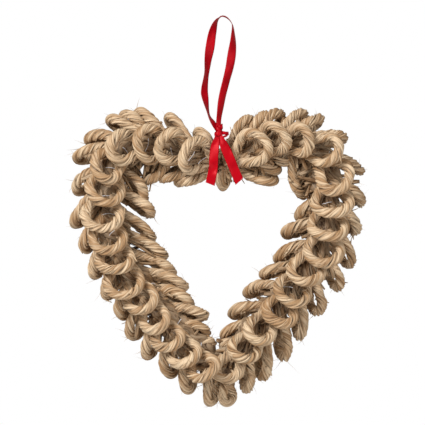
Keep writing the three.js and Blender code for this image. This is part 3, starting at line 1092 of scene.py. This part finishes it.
def ribbon_strip(surface, rows, rng, steps, cup=0.0, cut=(0.0, 0.0)):
    """
    A strip of ribbon: its width runs along (cos turn, sin turn, 0), made square to the way on. It cups by
    cup times one less the square of the place across, and ripples slowly along. Its ends are cut at a slant:
    the end row slides along by cut times the place across, and rows near it slide less.
    """
    values = smooth_rows(rows, steps)
    middle = values[:, :3]
    turn = np.radians(values[:, 4])
    width_way = stacked(np.cos(turn), np.sin(turn), 0.0)
    on = unit(np.gradient(middle, axis=0))
    flat = unit(width_way - on * (on * width_way).sum(axis=1, keepdims=True))
    thin = np.cross(on, flat)
    place = np.linspace(-1.0, 1.0, RIBBON_COLUMNS)
    s = np.linspace(0.0, 1.0, steps + 1)[:, None]
    length = np.linalg.norm(np.diff(middle, axis=0), axis=1).sum()
    ripple = 0.22 * np.sin(TURN * (s * length / RIPPLE_LENGTH + rng.random()) + 2.2 * place[None, :])
    bulge = cup * (1 - place[None, :] ** 2) + ripple
    near_start = np.clip(1 - s * length / CUT_REACH, 0, 1)
    near_end = np.clip(1 - (1 - s) * length / CUT_REACH, 0, 1)
    slide = place[None, :] * (cut[0] * near_start + cut[1] * near_end)
    centre = (
        middle[:, None, :]
        + flat[:, None, :] * (values[:, 3] / 2)[:, None, None] * place[None, :, None]
        + thin[:, None, :] * bulge[..., None]
        + on[:, None, :] * slide[..., None]
    )
    half = thin[:, None, :] * RIBBON_THICKNESS / 2
    points = np.concatenate([centre + half, (centre - half)[:, ::-1]], axis=1)
    both_faces = np.concatenate([place, place[::-1]])
    weave = stacked(both_faces * WEAVE_ACROSS, s * length * WEAVE_ALONG, 0.0)
    surface.add_tube(points, across=np.abs(both_faces), weave=weave)


# The knot's turns of ribbon, as (shift from the knot, size, height, tilt), and the points round each
KNOT_BANDS = (
    ((0.0, 0.0, 0.0), 3.4, 5.4, 12.0),
    ((0.8, 0.4, 3.0), 2.9, 5.0, -34.0),
    ((1.8, 0.2, 6.5), 1.9, 5.6, 20.0),
    ((6.6, 0.6, 0.7), 3.1, 3.4, -6.0),
    ((5.9, 0.9, -2.7), 2.7, 2.2, 26.0),
)
BAND_STEPS = 48
BAND_COLUMNS = 14


def knot_band(surface, centre, size, height, tilt, rng):
    """A turn of ribbon round the knot: a flat round bar bent into an oval, tilted and pinched by ridges."""
    a = np.linspace(0.0, TURN, BAND_STEPS + 1)[:-1, None]
    b = TURN * np.arange(BAND_COLUMNS)[None, :] / BAND_COLUMNS
    ridge = 0.18 * np.sin(3 * b + 2 * a + rng.random() * TURN)
    out = size + 0.8 * np.cos(b) + ridge
    up = height / 2 * np.sin(b) * (1 + 0.12 * np.sin(2 * a + rng.random()))
    x = out * np.cos(a)
    y = out * np.sin(a) * 0.85
    z = up + x * math.tan(math.radians(tilt))
    faces = grid_faces(BAND_STEPS + 1, BAND_COLUMNS) % (BAND_STEPS * BAND_COLUMNS)
    # Painted shade: across is raised over the knot, so most of it takes the darker edge colour, in patches
    across = np.clip(np.abs(np.sin(b)) + 0.5 + 0.5 * np.sin(5 * a + rng.random() * TURN), 0, 1)
    weave = stacked(up, WEAVE_ALONG * size * a, 0.0)
    surface.add(centre + stacked(x, y, z), faces[:, ::-1], across=across, weave=weave)


# The turn round the straw: how far behind the knot it starts, half the gap there, its drop, and its widths
ROUND_BEHIND = 2.0
ROUND_GAP = 0.8
ROUND_DROP = 0.5
ROUND_WIDTHS = (3.5, 5.0)


class WREATH_OT_ribbon(bpy.types.Operator):
    """Ties the satin ribbon: hanging loop, knot, the turn round the straw and two tails"""

    bl_idname = "wreath.ribbon"
    bl_label = "Ribbon"

    def execute(self, context):
        rng = np.random.default_rng(seed=11)
        surface = Surface("across", "weave")
        ribbon_strip(surface, HANGING_LOOP, rng, steps=220, cup=0.5)
        ribbon_strip(surface, LEFT_TAIL, rng, steps=60, cup=-0.5, cut=(0.0, 0.9))
        ribbon_strip(surface, RIGHT_TAIL, rng, steps=60, cup=-0.5, cut=(0.0, -1.6))
        knot = np.array(KNOT)
        for shift, size, height, tilt in KNOT_BANDS:
            knot_band(surface, knot + shift, size, height, tilt, rng)
        self.turn_round_straw(surface, knot, rng)
        settings = context.scene.wreath_ribbon
        material = kept_material("crimson_satin", lambda: satin_material(settings))
        piece = add_piece("satin_ribbon", surface.mesh("satin_ribbon"), material)
        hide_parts("ribbon")
        return {"FINISHED"}

    def turn_round_straw(self, surface, knot, rng):
        """
        The turn round the straw, seen from the side: from the knot to a tangent point of a circle round the
        straw, round the circle's far side, and from its other tangent point back to the knot.
        """
        across = knot[1] + ROUND_BEHIND
        up = knot[2] - TIE_CENTRE_Z
        towards = math.atan2(up, across)
        opening = math.acos(TIE_RADIUS / math.hypot(across, up))
        angles = np.linspace(towards + opening, towards + TURN - opening, 12)
        y = TIE_RADIUS * np.cos(angles)
        z = TIE_CENTRE_Z + TIE_RADIUS * np.sin(angles)
        arc = stacked(TIE_X, y, z, ROUND_WIDTHS[1], 0.0)
        z = knot[2] - ROUND_DROP
        start, end = ([knot[0], across + gap, z, ROUND_WIDTHS[0], 0] for gap in (-ROUND_GAP, ROUND_GAP))
        ribbon_strip(surface, np.vstack([start, arc, end]), rng, steps=90)


# Camera: the photograph's scale at the heart, seen from far off with a long lens
PICTURE_WIDTH = 429.25
PICTURE_CENTRE = (-9.6, -198.0)
CAMERA_DISTANCE = 3200.0
SENSOR_WIDTH = 36.0

# The floor, like the lights' places, is in metres; the second light has FILL_SHARE of the key light's power
FILL_SHARE = 0.25
FLOOR_Z = -0.75
FLOOR_SIZE = 2.4


def soft_light(name, place, aim, size, power):
    """A large square light at place, turned to aim."""
    data = bpy.data.lights.new(name, "AREA")
    data.size = size
    data.energy = power
    light = bpy.data.objects.new(name, data)
    bpy.context.scene.collection.objects.link(light)
    light.location = place
    light.rotation_euler = (Vector(aim) - Vector(place)).to_track_quat("-Z", "Y").to_euler()


class WREATH_OT_stage(bpy.types.Operator):
    """Sets the camera, the lights, the white surround and the floor"""

    bl_idname = "wreath.stage"
    bl_label = "Stage"

    def execute(self, context):
        settings = context.scene.wreath_stage
        scene = context.scene
        data = bpy.data.cameras.new("camera")
        data.sensor_width = SENSOR_WIDTH
        data.lens = SENSOR_WIDTH * CAMERA_DISTANCE / PICTURE_WIDTH
        data.clip_end = 20.0
        camera = bpy.data.objects.new("camera", data)
        scene.collection.objects.link(camera)
        camera.location = (PICTURE_CENTRE[0] * MM, -CAMERA_DISTANCE * MM, PICTURE_CENTRE[1] * MM)
        camera.rotation_euler = (math.pi / 2, 0.0, 0.0)
        scene.camera = camera
        centre = (PICTURE_CENTRE[0] * MM, 0.0, PICTURE_CENTRE[1] * MM)
        soft_light("key_light", (-1.0, -1.5, 0.9), centre, size=0.9, power=settings.key_power)
        power = settings.key_power * FILL_SHARE
        soft_light("fill_light", (1.3, -1.4, 0.1), centre, size=1.2, power=power)
        self.surround(scene, settings.surround)
        self.floor(scene)
        scene.view_settings.view_transform = "Standard"
        return {"FINISHED"}

    def surround(self, scene, strength):
        """White behind the wreath, and an even light of the given strength on it."""
        world = bpy.data.worlds.new("white_surround")
        world.use_nodes = True
        scene.world = world
        tree = world.node_tree
        shown = tree.nodes["Background"]
        shown.inputs["Color"].default_value = (1.0, 1.0, 1.0, 1.0)
        shown.inputs["Strength"].default_value = 1.0
        lit = tree.nodes.new("ShaderNodeBackground")
        lit.inputs["Color"].default_value = (1.0, 0.95, 0.88, 1.0)
        lit.inputs["Strength"].default_value = strength
        rays = tree.nodes.new("ShaderNodeLightPath")
        mix = tree.nodes.new("ShaderNodeMixShader")
        tree.links.new(rays.outputs["Is Camera Ray"], mix.inputs[0])
        tree.links.new(lit.outputs[0], mix.inputs[1])
        tree.links.new(shown.outputs[0], mix.inputs[2])
        tree.links.new(mix.outputs[0], tree.nodes["World Output"].inputs["Surface"])

    def floor(self, scene):
        """A plain pale floor well below the heart."""
        half = FLOOR_SIZE / 2
        mesh = bpy.data.meshes.new("floor")
        corners = [(x, y, FLOOR_Z) for x, y in ((-half, -half), (half, -half), (half, half), (-half, half))]
        mesh.from_pydata(corners, [], [(0, 1, 2, 3)])
        shader = Shader("pale_floor")
        shader.set(Base_Color=(0.85, 0.85, 0.85, 1.0), Roughness=0.9)
        mesh.materials.append(shader.material)
        floor = bpy.data.objects.new("floor", mesh)
        scene.collection.objects.link(floor)


OPERATORS = (
    WREATH_OT_stage,
    WREATH_OT_left_half,
    WREATH_OT_right_half,
    WREATH_OT_tip,
    WREATH_OT_thread,
    WREATH_OT_ribbon,
)


class WREATH_PT_panel(bpy.types.Panel):
    """Sizes, colours and the steps that make the wreath"""

    bl_idname = "WREATH_PT_panel"
    bl_label = "Straw Heart"
    bl_space_type = "VIEW_3D"
    bl_region_type = "UI"
    bl_category = "Straw Heart"

    def draw(self, context):
        for group in ("wreath_straw", "wreath_ribbon", "wreath_stage"):
            settings = getattr(context.scene, group)
            box = self.layout.box()
            for name in settings.__annotations__:
                box.prop(settings, name)
        for operator in OPERATORS:
            self.layout.operator(operator.bl_idname)


GROUPS = {"wreath_straw": StrawSettings, "wreath_ribbon": RibbonSettings, "wreath_stage": StageSettings}


def register():
    """Registers the classes and puts the settings on the scene."""
    for cls in (*GROUPS.values(), *OPERATORS, WREATH_PT_panel):
        bpy.utils.register_class(cls)
    for name, group in GROUPS.items():
        setattr(bpy.types.Scene, name, PointerProperty(type=group))


def unregister():
    """Takes the settings and the classes away again."""
    for name in GROUPS:
        delattr(bpy.types.Scene, name)
    for cls in (WREATH_PT_panel, *reversed(OPERATORS), *reversed(GROUPS.values())):
        bpy.utils.unregister_class(cls)


def main():
    """Makes the whole wreath."""
    register()
    for operator in OPERATORS:
        group, name = operator.bl_idname.split(".")
        getattr(getattr(bpy.ops, group), name)()


if __name__ == "__main__":
    main()
